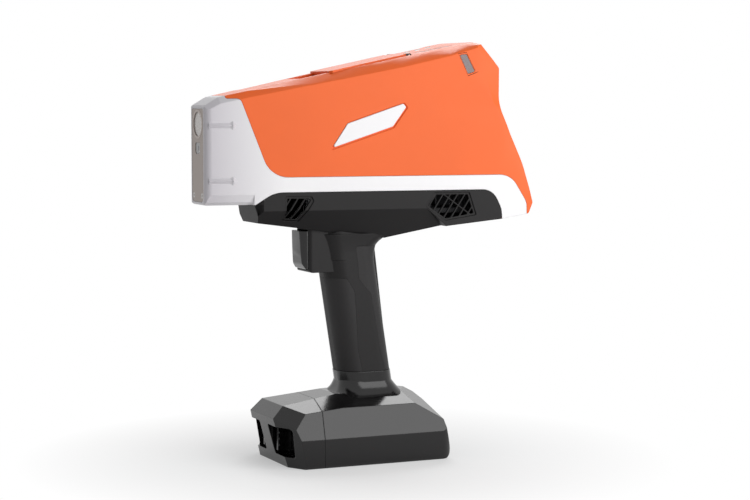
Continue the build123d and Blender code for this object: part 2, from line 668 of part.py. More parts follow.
def key(name):
    x, y, w, h, r = KEYS[name]
    cap = card(w, h, r, -2.75, 0.7, x, y)
    return PADS * (Part() + cap + card(w + 1.9, h + 1.9, r + 0.6, -3.5, -2.75, x, y))


def keypad_board():
    return PADS * Pos(0, 0, -5.5) * Box(60, 31, 1.4)


DECK_Z = 191.4           # underside of the chassis deck


# ---- measuring head ----------------------------------------------------------
def beam_block():
    body = box(NOSE_X + 6.6, -90, -12.4, 12.4, WINDOW_Z - 9, WINDOW_Z + 10)
    body -= rod((NOSE_X + 5, 0, WINDOW_Z), (-97, 0, WINDOW_Z), WINDOW_R - 0.5)
    body -= rod((-99, -4, WINDOW_Z + 2), (-89, -6, WHEEL_Z), 2.4)
    return body - rod((-99, 2, WINDOW_Z - 2), (-86, 3, WINDOW_Z - 8), 3.2)


def wheel_spot(i):
    """Place of one filter on the wheel."""
    a = math.pi + i * math.pi / 3
    return WHEEL_Y + 9.0 * math.cos(a), WHEEL_Z + 9.0 * math.sin(a)


def axial(x0, x1, y, z, radius):
    """Round bar along X."""
    return rod((x0, y, z), (x1, y, z), radius)


def filter_wheel():
    body = axial(-87.6, -86.2, WHEEL_Y, WHEEL_Z, 11.6) + axial(-86.2, -84.2, WHEEL_Y, WHEEL_Z, 1.8)
    for i in range(6):
        body -= axial(-90, -80, *wheel_spot(i), 1.9)
    return body - axial(-90, -80, WHEEL_Y, WHEEL_Z, 0.8)


def filter_foils():
    foils = Part()
    for i in range(1, 6):
        foils += axial(-87.1, -86.6, *wheel_spot(i), 1.9)
    return foils


def filter_motor():
    return axial(-83.8, -70, WHEEL_Y, WHEEL_Z, 3.2) + axial(-87.9, -83.8, WHEEL_Y, WHEEL_Z, 0.74)


TUBE_Y = -6.2
TUBE = ((-83.8, TUBE_Y, WHEEL_Z), (-44, TUBE_Y, WHEEL_Z + 4.9))


def xray_tube():
    return rod(TUBE[0], TUBE[1], 5.4) + rod((-85.2, TUBE_Y, WHEEL_Z), TUBE[0], 3.4)


def tube_clamp():
    body = box(-66, -54, -14, 1.2, WHEEL_Z - 7, WHEEL_Z + 11) + box(-66, -54, -14, -5.2, DECK_Z + 2, WHEEL_Z - 7)
    return body - rod(TUBE[0], TUBE[1], 5.4)


def detector():
    nose, neck, tail = (-82, 3, WINDOW_Z - 12.2), (-76, 3, WINDOW_Z - 14.95), (-52, 3, WINDOW_Z - 26)
    return rod(nose, (-75, 3, WINDOW_Z - 15.4), 5.6) + rod(neck, tail, 7.4)


def aiming_camera():
    body = box(NOSE_X + 2.2, NOSE_X + 10, -4.9, 4.9, CAMERA_Z - 4.7, CAMERA_Z + 5.1)
    return body + camera_pane(0.1, NOSE_X + 0.4, NOSE_X + 2.2)


# ---- electronics and frame --------------------------------------------------
def chassis_frame():
    w = lambda x: half_width(x) - 4.2
    body = slab_xy([(-96, -w(-96)), (100, -w(100)), (100, w(100)), (-96, w(-96))], DECK_Z, DECK_Z + 2)
    for x in (-25, 25, 70):
        body -= box(x - 13, x + 13, -9, 9, DECK_Z - 1, DECK_Z + 3)
    body += box(-96, -94.4, -13, 13, DECK_Z + 2, WINDOW_Z - 9)
    return body


def hv_supply():
    body = box(-32, 26, -20, 8, 194.4, 240)
    return fillet(body.edges().filter_by(Axis.Z), 3) + box(-30, 24, -18, 6, 193.4, 194.4)


def main_board():
    body = box(-16, 84, 13.4, 15, 198, 249.5)
    for x, z, lx, lz, t in ((20, 228, 24, 24, 2.2), (52, 236, 16, 16, 1.8), (50, 212, 20, 12, 1.8), (-4, 222, 10, 18, 3)):
        body += box(x - lx / 2, x + lx / 2, 15, 15 + t, z - lz / 2, z + lz / 2)
    for x in (-10, 74):
        body += box(x - 3, x + 3, 13.4, 19, 193.4, 198.4)
    return body


def heat_sink():
    body = box(-28, 38, -18, 18, 187.4, 191.4)
    for i in range(7):
        y = -16.4 + i * 5.3
        body += box(-26, 36, y, y + 1.6, 172, 187.6)
    return body


def fan_frame():
    body = box(46.5, 86.5, -20, 20, 171, 187.4) - rod((66.5, 0, 172.6), (66.5, 0, 190), 17.6)
    body -= box(56, 77, -30, 30, 174.4, 185)
    body -= box(40, 60, -8, 8, 174.4, 185)
    body += rod((66.5, 0, 171), (66.5, 0, 174.4), 3.4) + rod((66.5, 0, 174), (66.5, 0, 180.6), 1.5)
    body += box(46.5, 49.5, -18, 18, 187.2, 191.4) + box(83.5, 86.5, -18, 18, 187.2, 191.4)
    return body


def fan_rotor():
    body = rod((66.5, 0, 175), (66.5, 0, 186), 7)
    for i in range(9):
        blade = Pos(10.6, 1.2, 180.5) * Rot(0, 0, 24) * Box(12.5, 1.0, 9.6)
        body += Pos(66.5, 0, 0) * Rot(0, 0, 40 * i) * blade
    body &= rod((66.5, 0, 170), (66.5, 0, 190), 16.9)
    return body - rod((66.5, 0, 170), (66.5, 0, 181), 1.55)


# ---- write every node ----------------------------------------------------------
def save(shape, node):
    export_step(shape, "parts/" + node + ".step")


whole = handle()
PIECES = {
    "upper_cover": upper_cover(), "nose_body": nose_body(), "nose_face_plate": face_plate(),
    "face_plate_screws": face_plate_screws(), "window_ring": window_ring(),
    "window_film": window_film(),
    "aiming_camera": aiming_camera(), "blank_plates": blank_plates(),
    "side_lights": side_lights(), "top_light_bars": top_light_bars(),
    "handle_left": half(whole, -1), "handle_right": half(whole, 1), "housing_screws": housing_screws(),
    "front_vent_left": vent(FRONT_VENT, -1, 5, 5.2, -70), "front_vent_right": vent(FRONT_VENT, 1, 5, 5.2, -70),
    "rear_vent_left": vent(REAR_VENT, -1, 8, 5.4, 33, TIE), "rear_vent_right": vent(REAR_VENT, 1, 8, 5.4, 33, TIE),
    "front_grip_pad": pad(FRONT_PAD), "rear_grip_pad": pad(REAR_PAD),
    "trigger": trigger(), "trigger_switch": trigger_switch(), "trigger_spring": trigger_spring(),
    "base_housing": base_housing(), "battery_cap": battery_cap(), "latch_left": latch(-1), "latch_right": latch(1),
    "battery_case": battery_case(), "battery_cells": battery_cells(), "battery_board": battery_board(),
    "dock_contacts": dock_contacts(), "io_door": io_door(), "io_door_pin": io_door_pin(), "io_tray": io_tray(),
    "io_ports": io_ports(), "rear_panel": rear_panel(), "display_glass": display_glass(),
    "display_module": display_module(), "keypad_board": keypad_board(), "beam_block": beam_block(),
    "filter_wheel": filter_wheel(), "filter_foils": filter_foils(), "filter_motor": filter_motor(),
    "xray_tube": xray_tube(), "tube_clamp": tube_clamp(), "detector": detector(), "chassis_frame": chassis_frame(),
    "hv_supply": hv_supply(), "main_board": main_board(), "heat_sink": heat_sink(), "fan_frame": fan_frame(),
    "fan_rotor": fan_rotor(),
}
for key_name in KEYS:
    PIECES[key_name] = key(key_name)
for node_name, piece in PIECES.items():
    save(piece, node_name)
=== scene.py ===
import math

import bmesh
import bpy
from bpy.props import FloatProperty, FloatVectorProperty, PointerProperty
from bpy.types import Operator, Panel, PropertyGroup
from mathutils import Matrix, Vector


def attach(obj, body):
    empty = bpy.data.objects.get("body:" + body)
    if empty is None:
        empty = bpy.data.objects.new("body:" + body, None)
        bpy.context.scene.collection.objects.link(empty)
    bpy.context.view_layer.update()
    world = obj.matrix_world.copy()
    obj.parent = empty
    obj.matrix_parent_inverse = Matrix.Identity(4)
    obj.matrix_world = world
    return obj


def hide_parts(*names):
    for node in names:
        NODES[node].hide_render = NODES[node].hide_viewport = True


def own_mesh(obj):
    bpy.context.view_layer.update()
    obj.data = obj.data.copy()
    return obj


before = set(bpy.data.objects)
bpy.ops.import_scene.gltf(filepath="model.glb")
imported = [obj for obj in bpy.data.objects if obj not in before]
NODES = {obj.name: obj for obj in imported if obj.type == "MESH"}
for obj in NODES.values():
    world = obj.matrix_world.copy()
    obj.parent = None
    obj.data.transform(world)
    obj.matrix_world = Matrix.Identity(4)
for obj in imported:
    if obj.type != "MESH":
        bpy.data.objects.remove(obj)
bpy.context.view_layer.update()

bl_info = {
    "name": "Handheld Analyzer Dressing",
    "version": (1, 0, 0),
    "blender": (4, 5, 0),
    "location": "3D View > Sidebar > Analyzer",
    "description": "Finishes, small fittings and a studio for the handheld analyzer",
    "category": "Object",
}

MM = 0.001


# ---- sizes and colours a user may change -------------------------------------
def colour(name, text, value):
    return FloatVectorProperty(name=name, description=text, subtype="COLOR", size=3, min=0, max=1,
                               default=value)


def length(name, text, value):
    return FloatProperty(name=name, description=text, unit="LENGTH", default=value, min=0)


class CoverColours(PropertyGroup):
    orange: colour("Cover orange", "Colour of the upper cover and port door", (0.91, 0.145, 0.024))
    pearl: colour("Band white", "Colour of the band along the head", (0.89, 0.88, 0.89))
    # painted shade: the front of the nose is blended towards this darker colour, standing in for the dimmer light on
    # the nose
    nose_painted_shade: colour("Nose pearl", "Colour of the nose at its front", (0.60, 0.575, 0.61))
    black: colour("Housing black", "Colour of belly, grip and rear panel", (0.009, 0.0082, 0.0085))
    gloss: colour("Foot black", "Colour of the glossy foot, trigger and keys", (0.005, 0.0045, 0.0048))
    rubber: colour("Grip rubber", "Colour of the soft grip pads", (0.010, 0.009, 0.0095))
    plate: colour("Face plate", "Colour of the front plate", (0.26, 0.225, 0.205))


class FittingSizes(PropertyGroup):
    legend_rise: length("Legend rise", "Height of the raised key legends", 0.12 * MM)
    edge_soft: length("Edge softness", "Radius seen along moulded edges", 0.7 * MM)


class StudioLook(PropertyGroup):
    key_power: FloatProperty(name="Key light", description="Power of the large side light", default=6.3, min=0)
    fill_power: FloatProperty(name="Fill light", description="Power of the light behind the head", default=4.5, min=0)
    sky: FloatProperty(name="Room light", description="Strength of the even room light", default=0.33, min=0)


def cover_colours():
    return bpy.context.scene.analyzer_colours


def fitting_sizes():
    return bpy.context.scene.analyzer_fittings


# ---- shader writing -----------------------------------------------------------
class Wire:
    """A value socket that takes part in sums."""

    def __init__(self, book, socket):
        self.book, self.socket = book, socket

    def _sum(self, operation, first, second):
        node = self.book.node("ShaderNodeMath", {"operation": operation}, {0: first, 1: second})
        return Wire(self.book, node.outputs[0])

    def __add__(self, other): return self._sum("ADD", self, other)
    def __radd__(self, other): return self._sum("ADD", other, self)
    def __sub__(self, other): return self._sum("SUBTRACT", self, other)
    def __rsub__(self, other): return self._sum("SUBTRACT", other, self)
    def __mul__(self, other): return self._sum("MULTIPLY", self, other)
    def __rmul__(self, other): return self._sum("MULTIPLY", other, self)
    def __truediv__(self, other): return self._sum("DIVIDE", self, other)
    def __pow__(self, other): return self._sum("POWER", self, other)
    def __lt__(self, other): return self._sum("LESS_THAN", self, other)

    def held(self):
        node = self.book.node("ShaderNodeClamp", {}, {0: self})
        return Wire(self.book, node.outputs[0])


class FinishBook:
    """Writes the nodes of one material."""

    def __init__(self, name):
        self.material = bpy.data.materials.new(name)
        self.material.use_nodes = True
        self.tree = self.material.node_tree
        self.tree.nodes.clear()
        self.out = self.node("ShaderNodeOutputMaterial")
        self.place = self.node("ShaderNodeTexCoord").outputs["Object"]

    def node(self, kind, settings=None, sockets=None):
        made = self.tree.nodes.new(kind)
        for key, value in (settings or {}).items():
            if key == "stops":
                ramp = made.color_ramp
                while len(ramp.elements) < len(value):
                    ramp.elements.new(0.5)
                for element, (spot, shade) in zip(ramp.elements, value):
                    element.position = spot
                    element.color = shade if len(shade) == 4 else (*shade, 1)
            else:
                setattr(made, key, value)
        for key, value in (sockets or {}).items():
            if isinstance(value, Wire):
                value = value.socket
            if isinstance(value, bpy.types.NodeSocket):
                self.tree.links.new(value, made.inputs[key])
            else:
                made.inputs[key].default_value = value
        return made

    def speckle(self, scale, detail=2.0, roughness=0.5, stretch=None):
        """Noise over the object, 0 to 1, scale in lumps per metre."""
        spot = self.place
        if stretch:
            spot = self.node("ShaderNodeMapping", {}, {"Vector": spot, "Scale": stretch}).outputs[0]
        noise = self.node("ShaderNodeTexNoise", {}, {"Vector": spot, "Scale": scale, "Detail": detail,
                                                      "Roughness": roughness})
        return Wire(self, noise.outputs["Fac"])

    def cells(self, scale, feature="F1", output="Distance"):
        made = self.node("ShaderNodeTexVoronoi", {"feature": feature}, {"Vector": self.place, "Scale": scale})
        return Wire(self, made.outputs[output])

    def coordinate(self, axis):
        parts = self.node("ShaderNodeSeparateXYZ", {}, {0: self.place})
        return Wire(self, parts.outputs[axis])

    def blend(self, factor, first, second):
        made = self.node("ShaderNodeMix", {"data_type": "RGBA"}, {"Factor": factor, 6: first, 7: second})
        return made.outputs[2]

    def soft_edges(self, radius):
        return self.node("ShaderNodeBevel", {"samples": 6}, {"Radius": radius}).outputs[0]

    def bump(self, height, depth, strength=1.0, under=None):
        sockets = {"Height": height, "Distance": depth, "Strength": strength}
        if under is not None:
            sockets["Normal"] = under
        return self.node("ShaderNodeBump", {}, sockets).outputs[0]

    def surface(self, **sockets):
        named = {key.replace("_", " "): value for key, value in sockets.items()}
        made = self.node("ShaderNodeBsdfPrincipled", {}, named)
        self.tree.links.new(made.outputs[0], self.out.inputs["Surface"])
        return self.material


def rgba(shade, gain=1.0):
    return (*[min(1.0, c * gain) for c in shade], 1.0)


def wear_mask(book, scale=900.0):
    """Sparse scuffs, mostly zero."""
    return ((book.speckle(scale, 4.0, 0.65, (1, 1, 0.35)) - 0.66) * 6.0).held()


# ---- finishes -----------------------------------------------------------------
NOSE_SHADE_FADE = (-0.104, 0.05)     # where the painted nose shade begins to fade into the band colour, and over what length, in metres


def painted_shell(name, shade, rough, coat, grain, shift=0.05, shine=0.4, nose=None):
    """Sprayed or moulded plastic with a fine orange-peel skin; nose is a darker colour blended in at the front,
    painted shade for the dimmer light on the nose.
    """
    book = FinishBook(name)
    cloud = book.speckle(22.0, 3.0)
    scuff = wear_mask(book)
    tint = book.blend(cloud, rgba(shade, 1 - shift), rgba(shade, 1 + shift))
    # painted shade: towards the front the tint is blended into the darker nose colour
    if nose:
        back = ((book.coordinate("X") + -NOSE_SHADE_FADE[0]) / NOSE_SHADE_FADE[1]).held()
        tint = book.blend(back, rgba(nose), tint)
    peel = book.speckle(grain, 2.0)
    skin = book.bump(peel, 0.02 * MM, 0.5, book.soft_edges(fitting_sizes().edge_soft))
    return book.surface(Base_Color=tint, Roughness=rough + book.speckle(160.0) * 0.07 + scuff * 0.08,
                        Coat_Weight=coat, Coat_Roughness=0.12, Specular_IOR_Level=shine, Normal=skin, IOR=1.48)


def spark_plastic(name, shade, rough=0.42, depth=0.05, grain=2600.0, shine=0.22):
    """Moulded black plastic with a spark-eroded texture."""
    book = FinishBook(name)
    grit = book.cells(grain) * 0.7 + book.speckle(grain * 0.8, 3.0) * 0.5
    cloud = book.speckle(30.0, 3.0)
    tint = book.blend(cloud, rgba(shade, 0.86), rgba(shade, 1.2))
    skin = book.bump(grit, depth * MM, 0.5, book.soft_edges(fitting_sizes().edge_soft))
    return book.surface(Base_Color=tint, Roughness=rough + grit * 0.1 + wear_mask(book) * -0.1,
                        Specular_IOR_Level=shine, Normal=skin, IOR=1.5)


def grip_rubber():
    book = FinishBook("grip_rubber_finish")
    grit = book.cells(1500.0) * 0.8 + book.speckle(2300.0, 3.0) * 0.6
    tint = book.blend(book.speckle(45.0, 4.0), rgba(cover_colours().rubber, 0.8), rgba(cover_colours().rubber, 1.3))
    skin = book.bump(grit, 0.09 * MM, 0.6, book.soft_edges(0.5 * MM))
    return book.surface(Base_Color=tint, Roughness=0.5 + grit * 0.14, Sheen_Weight=0.08, Sheen_Roughness=0.4,
                        Specular_IOR_Level=0.4, Normal=skin, IOR=1.45)


def brushed_metal(name, shade, rough=0.32, run=(1.0, 60.0, 1.0), scale=60.0, depth=0.02):
    book = FinishBook(name)
    hair = book.speckle(scale, 3.0, 0.6, run)
    tint = book.blend(hair, rgba(shade, 0.85), rgba(shade, 1.12))
    skin = book.bump(hair, depth * MM, 0.5, book.soft_edges(0.25 * MM))
    return book.surface(Base_Color=tint, Metallic=1.0, Roughness=rough + hair * 0.12, Normal=skin)


def clear_lens(name, shade, alpha, rough=0.08):
    book = FinishBook(name)
    haze = book.speckle(260.0, 2.0)
    tint = book.blend(haze, rgba(shade, 0.92), rgba(shade, 1.06))
    return book.surface(Base_Color=tint, Roughness=rough + haze * 0.05, Alpha=alpha, Coat_Weight=0.6,
                        Coat_Roughness=0.05, Normal=book.soft_edges(0.2 * MM))


def film_finish():
    """Thin measuring film, faintly wrinkled."""
    book = FinishBook("window_film_finish")
    waves = book.speckle(220.0, 3.0)
    tint = book.blend(waves, (0.50, 0.47, 0.45, 1), (0.62, 0.59, 0.57, 1))
    return book.surface(Base_Color=tint, Roughness=0.22 + waves * 0.1, Metallic=0.25,
                        Normal=book.bump(waves, 0.15 * MM, 0.5))


def board_finish():
    """Solder mask with faint copper runs under it."""
    book = FinishBook("board_finish")
    runs = (book.cells(420.0, "DISTANCE_TO_EDGE") < 0.05)
    tint = book.blend(runs, (0.012, 0.085, 0.03, 1), (0.02, 0.15, 0.055, 1))
    return book.surface(Base_Color=tint, Roughness=0.35 + runs * 0.08, Normal=book.bump(runs, 0.03 * MM, 0.6))


def machined_metal(name, shade, rough=0.28):
    return brushed_metal(name, shade, rough, (1, 1, 30), 140.0, 0.015)


def potting_finish():
    book = FinishBook("potting_finish")
    lumps = book.speckle(240.0, 4.0)
    tint = book.blend(lumps, (0.055, 0.058, 0.062, 1), (0.085, 0.088, 0.095, 1))
    return book.surface(Base_Color=tint, Roughness=0.4 + lumps * 0.15, Normal=book.bump(lumps, 0.1 * MM, 0.5))


def wrap_finish():
    book = FinishBook("cell_wrap_finish")
    crinkle = book.speckle(300.0, 3.0, 0.6, (1, 0.2, 1))
    tint = book.blend(crinkle, (0.02, 0.06, 0.18, 1), (0.035, 0.10, 0.26, 1))
    return book.surface(Base_Color=tint, Roughness=0.25 + crinkle * 0.15, Coat_Weight=0.3,
                        Normal=book.bump(crinkle, 0.06 * MM, 0.5))


def screen_finish():
    """Dark cover glass, its tone and gloss varied by faint smears."""
    book = FinishBook("screen_glass_finish")
    smear = book.speckle(60.0, 4.0, 0.6, (1, 1, 0.5))
    tint = book.blend(smear, (0.006, 0.006, 0.008, 1), (0.011, 0.011, 0.014, 1))
    return book.surface(Base_Color=tint, Roughness=0.05 + smear * 0.06, Coat_Weight=1.0, Coat_Roughness=0.03,
                        Normal=book.soft_edges(0.3 * MM))


def dress(material, *names):
    """Gives CAD nodes a finish in place of their plain one."""
    for name in names:
        shape = NODES[name].data
        shape.materials.clear()
        shape.materials.append(material)


# ---- mesh helpers --------------------------------------------------------------
def to_piece(bm, name, body, material):
    """Turns a bmesh, in millimetres of the shared frame, into a finished piece."""
    bmesh.ops.scale(bm, vec=(MM, MM, MM), verts=bm.verts)
    bmesh.ops.recalc_face_normals(bm, faces=bm.faces)
    shape = bpy.data.meshes.new(name)
    bm.to_mesh(shape)
    bm.free()
    piece = bpy.data.objects.new(name, shape)
    bpy.context.scene.collection.objects.link(piece)
    shape.materials.append(material)
    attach(piece, body)
    return piece


def bevelled(bm, verts, width, segments=2):
    edges = list({e for v in verts for e in v.link_edges})
    bmesh.ops.bevel(bm, geom=edges, offset=width, offset_type="OFFSET", segments=segments, profile=0.5,
                    affect="EDGES", clamp_overlap=True, material=-1)


def block(bm, place, size, width=0.0, segments=2):
    """Bevelled box; place is a matrix or a centre."""
    if not isinstance(place, Matrix):
        place = Matrix.Translation(place)
    made = bmesh.ops.create_cube(bm, size=1.0, matrix=place @ Matrix.Diagonal((*size, 1)))
    if width:
        bevelled(bm, made["verts"], width, segments)


def drum(bm, place, radius, height, sides=32, width=0.0):
    """Bevelled disc along its local Z, standing on place."""
    made = bmesh.ops.create_cone(bm, cap_ends=True, segments=sides, radius1=radius, radius2=radius, depth=height,
                                 matrix=place @ Matrix.Translation((0, 0, height / 2)))
    if width:
        rims = [e for e in {e for v in made["verts"] for e in v.link_edges} if len(e.link_faces) == 2
                and any(len(f.verts) > 4 for f in e.link_faces)]
        bmesh.ops.bevel(bm, geom=rims, offset=width, offset_type="OFFSET", segments=2, profile=0.5,
                        affect="EDGES", material=-1)


def plate(bm, place, corners, low, high):
    """Flat outline in the local XY plane, given thickness."""
    verts = [bm.verts.new(place @ Vector((x, y, low))) for x, y in corners]
    face = bm.faces.new(verts)
    up = bmesh.ops.extrude_face_region(bm, geom=[face])
    lift = (place.to_3x3() @ Vector((0, 0, high - low)))
    bmesh.ops.translate(bm, vec=lift, verts=[v for v in up["geom"] if isinstance(v, bmesh.types.BMVert)])


def joined_copy(name):
    """Mesh of a CAD node in millimetres, with its loose triangles joined."""
    bm = bmesh.new()
    bm.from_mesh(NODES[name].data)
    bmesh.ops.scale(bm, vec=(1 / MM, 1 / MM, 1 / MM), verts=bm.verts)
    bmesh.ops.remove_doubles(bm, verts=bm.verts, dist=0.002)
    return bm


def trim(bm, point, normal):
    """Cuts away what lies beyond a plane and closes the cut."""
    made = bmesh.ops.bisect_plane(bm, geom=bm.verts[:] + bm.edges[:] + bm.faces[:], dist=0.0005,
                                  plane_co=point, plane_no=normal, clear_outer=True)
    rim = [e for e in made["geom_cut"] if isinstance(e, bmesh.types.BMEdge)]
    bmesh.ops.holes_fill(bm, edges=rim)


def even_shading(piece, angle=30.0):
    """Smooth shading that stays flat on flat faces and sharp at edges over the angle."""
    shape = piece.data
    if "custom_normal" in shape.attributes:
        shape.attributes.remove(shape.attributes["custom_normal"])
    shape.polygons.foreach_set("use_smooth", [True] * len(shape.polygons))
    shape.set_sharp_from_angle(angle=math.radians(angle))
    finish = piece.modifiers.new("even_shading", "WEIGHTED_NORMAL")
    finish.keep_sharp = True


def frame_at(origin, x_dir, z_dir):
    """Local frame in millimetres from an origin and two directions."""
    z = Vector(z_dir).normalized()
    x = Vector(x_dir).normalized()
    y = z.cross(x)
    turn = Matrix((x, y, z)).transposed().to_4x4()
    return Matrix.Translation(origin) @ turn


# ---- places, in millimetres of the shared frame ---------------------------------
KEYS_TOP, KEYS_FOOT = (109.5, 212.0), (117.5, 176.0)     # x and z of the key pad's upper and lower edge
TOP_A, TOP_B = (-99.0, 252.2), (85.5, 290.7)     # x and z of the ends of the top ridge
SLOPE = (TOP_B[1] - TOP_A[1]) / (TOP_B[0] - TOP_A[0])
NOSE_X = -109.3          # front rim of the nose
NOSE_HALF = 16.6         # half width there
PLATE_X = NOSE_X + 0.42  # front of the recessed face plate
FLARE = 0.106            # half width gained per millimetre towards the rear
BOW_SIDE = (-69.5, 20.82)     # x and half width where the belly's side turns in
BOW_FRONT = (-74.5, 16.4)     # x and half width where its front begins
BOW_FOOT = (-71.5, 0, 166.6)  # lower edge of the belly's front
BOW_INNER = (-61.43, 6.6)     # x and half width of the inner corner of what is filled there
PAD_LIP, PAD_TOP = 136.0, 149.0     # heights where the rear pad starts to sweep back, and where it ends
PAD_SWEEP = 3.0          # how far its top goes back
SIDE_LIGHT = [(70.3, 281.3), (75.5, 281.9), (81.8, 269.8), (76.6, 268.0)]     # corners in x and z
RIB_HEIGHTS = (195.9, 233.1)
RIB_RIDGE = ((-107.2, -2.3, -0.6), (-107.2, 2.3, -0.6), (-107.2, 0, 1.3),
             (-91.5, -2.5, -0.6), (-91.5, 2.5, -0.6), (-91.5, 0, 1.6))     # x, height and rise
RIB_END = ((-92.8, -2.3, -0.6), (-92.8, 2.3, -0.6), (-90.4, -4.0, -0.6), (-90.4, 4.0, -0.6),
           (-86.2, 0, -0.6), (-90.8, 0, 2.2))
FACE_SCREWS = ((-8.3, 185.8), (8.3, 185.8))     # y and z
KEY_SPOTS = {
    "key_up": (0, 9.6), "key_down": (0, -9.6), "key_left": (-11.2, 0), "key_right": (11.2, 0), "key_select": (0, 0),
    "key_home": (-24, 5), "key_back": (-24, -7), "key_power": (24, -1),
}
BOARD_CHIPS = ((0, 208, 8, 8), (12, 206, 10, 6), (34, 208, 9, 9), (68, 222, 12, 12), (72, 240, 7, 7),
               (34, 242, 8, 6), (8, 240, 6, 10))     # x, z, length and height
BOARD_CANS = ((60, 204), (66, 204), (72, 204), (-10, 236), (-10, 206))     # x and z

# ---- places, in metres -----------------------------------------------------------
EYE_PLACE = (-0.5554, -1.2979, 0.2551)
EYE_TURN = (90 - 4.449, 0, -23.982)     # tilt and turn of the camera, in degrees
FLOOR_FADE = (0.07, 0.16)     # radius where the floor starts to glow white, and width of the fade
FLOOR_NEAR = 0.4         # share of glow close to the object


def rear_frame(a, b):
    """Frame in the middle of a flat part of the rear, with x across and z outwards."""
    run = Vector((b[0] - a[0], 0, b[1] - a[1])).normalized()
    return frame_at(((a[0] + b[0]) / 2, 0, (a[1] + b[1]) / 2), (0, 1, 0), (-run.z, 0, run.x))


KEYPAD = rear_frame(KEYS_TOP, KEYS_FOOT)
TOP = frame_at((0, 0, TOP_A[1] - SLOPE * TOP_A[0]), (1, 0, SLOPE), (-SLOPE, 0, 1))


def key_spot(name, turn=0):
    """Frame in the middle of a key, turned by an angle in degrees."""
    return KEYPAD @ Matrix.Translation((*KEY_SPOTS[name], 0)) @ Matrix.Rotation(math.radians(turn), 4, "Z")


def plate_spot(y, z):
    """Frame on the face plate, facing forwards."""
    return frame_at((PLATE_X, y, z), (0, 1, 0), (-1, 0, 0))


def side_wall(side):
    """Frame on the flat side wall whose local x and y are the shared x and z."""
    tilt = math.sqrt(1 + FLARE * FLARE)
    out = Vector((-FLARE, side, 0)) / tilt
    start = Vector((0, side * (NOSE_HALF - FLARE * NOSE_X), 0))
    return Matrix(((1, 0, out.x, start.x), (side * FLARE, 0, out.y, start.y), (0, 1, out.z, start.z), (0, 0, 0, 1)))


# ---- operators -----------------------------------------------------------------
class ANALYZER_OT_finishes(Operator):
    """Give every CAD node its finish"""
    bl_idname = "analyzer.finishes"
    bl_label = "Finishes"

    def execute(self, context):
        shades = cover_colours()
        dress(painted_shell("cover_orange_finish", shades.orange, 0.36, 0.0, 900.0, shine=0.3),
              "upper_cover", "io_door")
        dress(painted_shell("nose_pearl_painted_shade_finish", shades.pearl, 0.32, 0.2, 1100.0, 0.02, nose=shades.nose_painted_shade),
              "nose_body", "blank_plates")
        dress(spark_plastic("housing_black_finish", shades.black), "handle_left", "handle_right", "front_vent_left",
              "front_vent_right", "rear_vent_left", "rear_vent_right", "rear_panel", "io_tray")
        dress(painted_shell("foot_gloss_finish", shades.gloss, 0.13, 0.0, 700.0, 0.2, shine=0.45), "base_housing",
              "battery_cap", "trigger", "latch_left", "latch_right")
        dress(spark_plastic("key_finish", (0.03, 0.03, 0.032), 0.36, 0.03),
              *[n for n in NODES if n.startswith("key_")])
        dress(grip_rubber(), "front_grip_pad", "rear_grip_pad")
        dress(brushed_metal("face_plate_finish", shades.plate, 0.36, (1, 1, 0.03), 900.0), "nose_face_plate")
        dress(brushed_metal("window_ring_finish", (0.30, 0.26, 0.24), 0.30), "window_ring")
        dress(film_finish(), "window_film")
        dress(machined_metal("screw_finish", (0.42, 0.41, 0.40), 0.3), "face_plate_screws", "housing_screws",
              "io_door_pin", "trigger_spring")
        dress(clear_lens("side_lens_finish", (0.10, 0.055, 0.06), 0.95, 0.1), "side_lights")
        dress(clear_lens("camera_finish", (0.012, 0.012, 0.015), 1.0, 0.05), "aiming_camera")
        dress(clear_lens("light_bar_finish", (0.66, 0.55, 0.50), 0.95, 0.3), "top_light_bars")
        dress(screen_finish(), "display_glass")
        dress(spark_plastic("inner_black_finish", (0.035, 0.035, 0.037), 0.5), "display_module", "trigger_switch",
              "battery_case", "dock_contacts", "fan_frame", "fan_rotor")
        dress(board_finish(), "keypad_board", "main_board", "battery_board", "io_ports")
        dress(wrap_finish(), "battery_cells")
        dress(machined_metal("beam_brass_finish", (0.58, 0.40, 0.17)), "beam_block")
        dress(machined_metal("sink_finish", (0.60, 0.61, 0.63)), "heat_sink", "chassis_frame", "tube_clamp",
              "filter_wheel")
        dress(machined_metal("foil_finish", (0.62, 0.48, 0.26), 0.2), "filter_foils")
        dress(machined_metal("can_finish", (0.50, 0.50, 0.52)), "filter_motor", "detector")
        dress(painted_shell("tube_sleeve_finish", (0.62, 0.62, 0.60), 0.3, 0.3, 500.0), "xray_tube")
        dress(potting_finish(), "hv_supply")
        return {"FINISHED"}


class ANALYZER_OT_belly_bow(Operator):
    """Housing halves with the faceted front corners of the belly"""
    bl_idname = "analyzer.belly_bow"
    bl_label = "Belly bow"

    def execute(self, context):
        for name, side in (("handle_left", -1), ("handle_right", 1)):
            bm = joined_copy(name)
            spot = Vector((BOW_SIDE[0], side * BOW_SIDE[1], 0))
            facing = Vector((BOW_FRONT[1] - BOW_SIDE[1], side * (BOW_SIDE[0] - BOW_FRONT[0]), 0))
            trim(bm, spot, facing)
            self.corner(bm, side, spot, facing)
            piece = to_piece(bm, name + "_shell", "housing", NODES[name].data.materials[0])
            even_shading(piece)
            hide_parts(name)
        return {"FINISHED"}

    def corner(self, bm, side, spot, facing):
        """Fills the corner between the belly's front, bottom, side and facet."""
        part = bmesh.new()
        block(part, (-68, side * 15, 168.6), (28, 24, 21.3))
        inner = (BOW_INNER[0], side * BOW_INNER[1], 0)
        front, bottom = (-12.7, 0, -3.0), (-7.6, 0, -55.5)
        chamfer = (-15 * FLARE, 15 * side, -10.8)
        for point, normal in ((BOW_FOOT, front), (BOW_FOOT, bottom), (spot, facing), (spot, (-FLARE, side, 0)),
                              ((*spot.xy, 175.0), chamfer), (inner, (-3.85, -side * 19.83, 0)),
                              (inner, (20.17, side * 1.31, 0))):
            trim(part, point, normal)
        shape = bpy.data.meshes.new("corner")
        part.to_mesh(shape)
        part.free()
        bm.from_mesh(shape)
        bpy.data.meshes.remove(shape)


